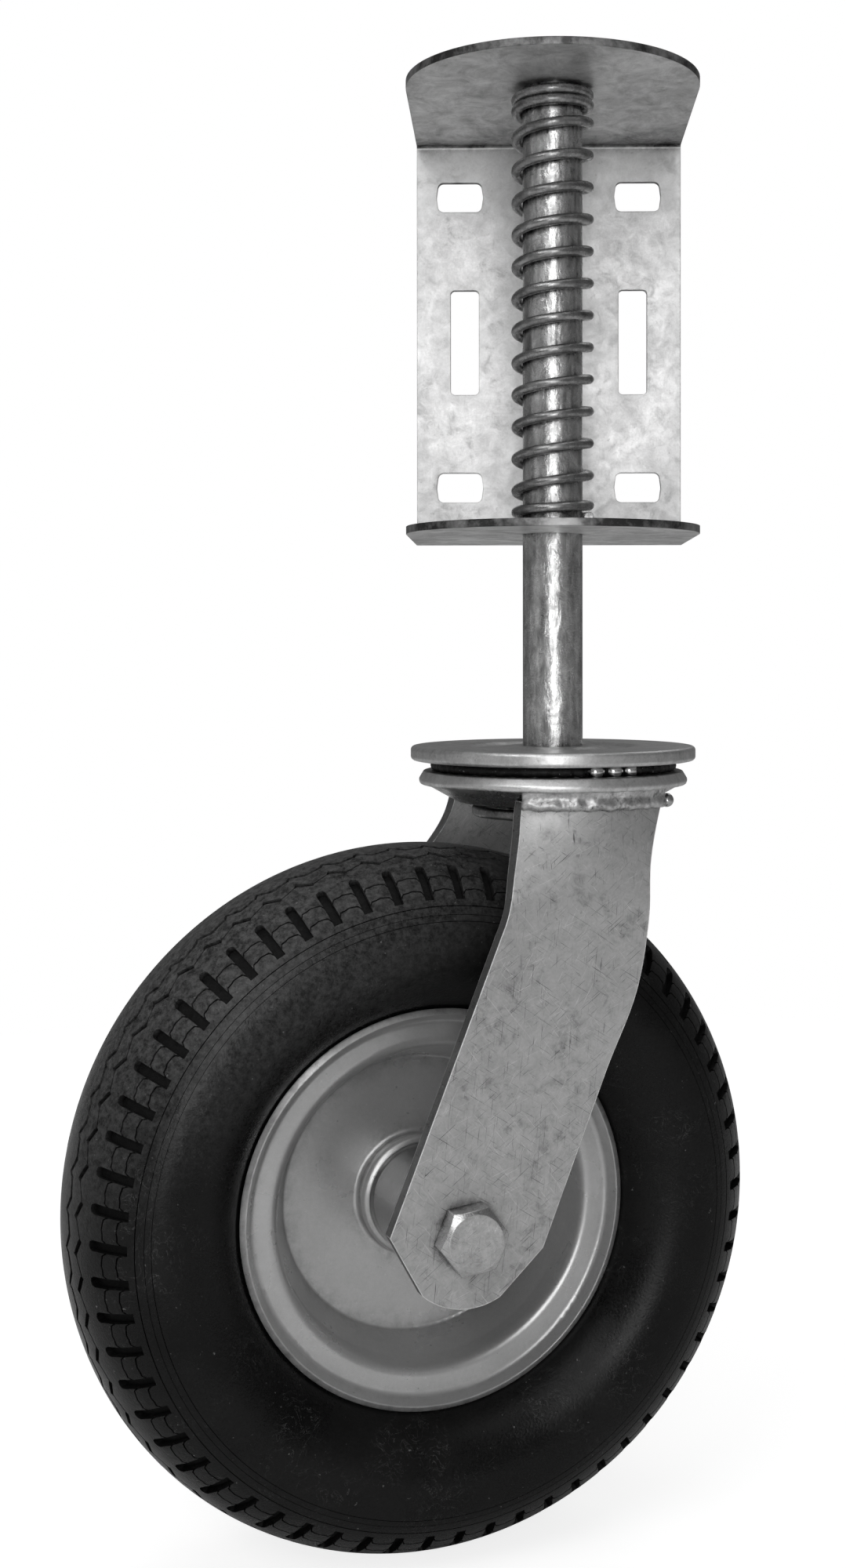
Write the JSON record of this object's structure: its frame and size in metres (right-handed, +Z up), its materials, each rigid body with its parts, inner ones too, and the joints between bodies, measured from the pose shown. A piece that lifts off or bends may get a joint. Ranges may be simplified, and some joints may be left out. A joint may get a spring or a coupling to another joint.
{
  "type": "gate wheel",
  "caption": "Sprung swivelling gate wheel: slotted C-bracket, sliding stem with coil spring, ball swivel fork and pneumatic wheel.",
  "frame": {"origin": "centre of the four bolt slots, on the back face of the bracket's plate", "axes": "+Y out of the back face into the gate, +Z up along the stem, +X to the right seen from the front"},
  "size_m": [0.2179, 0.1589, 0.4889],
  "materials": {
    "zinc_bracket": "satin",
    "zinc_stem": "satin",
    "spring_steel": "satin",
    "zinc_swivel": "satin",
    "bearing_steel": "gloss",
    "zinc_leg": "satin",
    "weld_metal": "satin",
    "zinc_fastener": "satin",
    "rim_paint": "satin",
    "hub_paint": "gloss",
    "tyre_rubber": "matte",
    "tube_rubber": "matte",
    "seal_rubber": "matte",
    "cap_plastic": "matte"
  },
  "bodies": {
    "bracket": {"bracket": "zinc_bracket", "compression_spring": "spring_steel"},
    "stem": {"stem_rod": "zinc_stem", "retaining_ring": "spring_steel", "swivel_top_plate": "zinc_swivel", "stem_weld": "weld_metal", "lower_race": "zinc_swivel", "kingpin_nut": "zinc_fastener"},
    "upper_ball_row": {"upper_balls": "bearing_steel"},
    "lower_ball_row": {"lower_balls": "bearing_steel"},
    "fork": {"fork_crown": "zinc_swivel", "grease_nipple": "zinc_fastener", "fork_leg_near": "zinc_leg", "fork_leg_far": "zinc_leg", "leg_weld_near": "weld_metal", "leg_weld_far": "weld_metal", "axle_bolt": "zinc_fastener", "axle_washer": "zinc_fastener", "axle_nut": "zinc_fastener", "axle_spacers": "zinc_fastener", "bearing_sleeve": "zinc_fastener", "bearing_inner_rings": "bearing_steel"},
    "wheel_ball_rows": {"wheel_balls": "bearing_steel", "bearing_cages": "bearing_steel"},
    "wheel": {"bearing_outer_rings": "bearing_steel", "bearing_seals": "seal_rubber", "hub_tube": "hub_paint", "hub_welds": "rim_paint", "rim_half_near": "rim_paint", "rim_half_far": "rim_paint", "tyre": "tyre_rubber", "inner_tube": "tube_rubber", "valve_stem": "tube_rubber", "valve_cap": "cap_plastic"}
  },
  "joints": [
    {"name": "stem_slide", "type": "slide", "parent": "bracket", "child": "stem", "axis": [0, 0, 1], "range_m": [0, 0.069], "stiffness_N_per_m": 7600, "springref_m": -0.008, "deforming": ["compression_spring"]},
    {"name": "swivel", "type": "hinge", "parent": "stem", "child": "fork", "pos_m": [0, -0.0745, -0.146], "axis": [0, 0, 1], "continuous": true},
    {"name": "upper_ball_roll", "type": "hinge", "parent": "stem", "child": "upper_ball_row", "pos_m": [0, -0.0745, -0.146], "axis": [0, 0, 1], "continuous": true},
    {"name": "lower_ball_roll", "type": "hinge", "parent": "stem", "child": "lower_ball_row", "pos_m": [0, -0.0745, -0.146], "axis": [0, 0, 1], "continuous": true},
    {"name": "wheel_spin", "type": "hinge", "parent": "fork", "child": "wheel", "pos_m": [-0.04587, -0.09229, -0.2901], "axis": [0.3616, -0.9323, 0], "continuous": true},
    {"name": "wheel_ball_roll", "type": "hinge", "parent": "fork", "child": "wheel_ball_rows", "pos_m": [-0.04587, -0.09229, -0.2901], "axis": [0.3616, -0.9323, 0], "continuous": true}
  ],
  "couplings": [
    {"joint": "upper_ball_roll", "follows": "swivel", "ratio": 0.5},
    {"joint": "lower_ball_roll", "follows": "swivel", "ratio": 0.5},
    {"joint": "wheel_ball_roll", "follows": "wheel_spin", "ratio": 0.635}
  ]
}
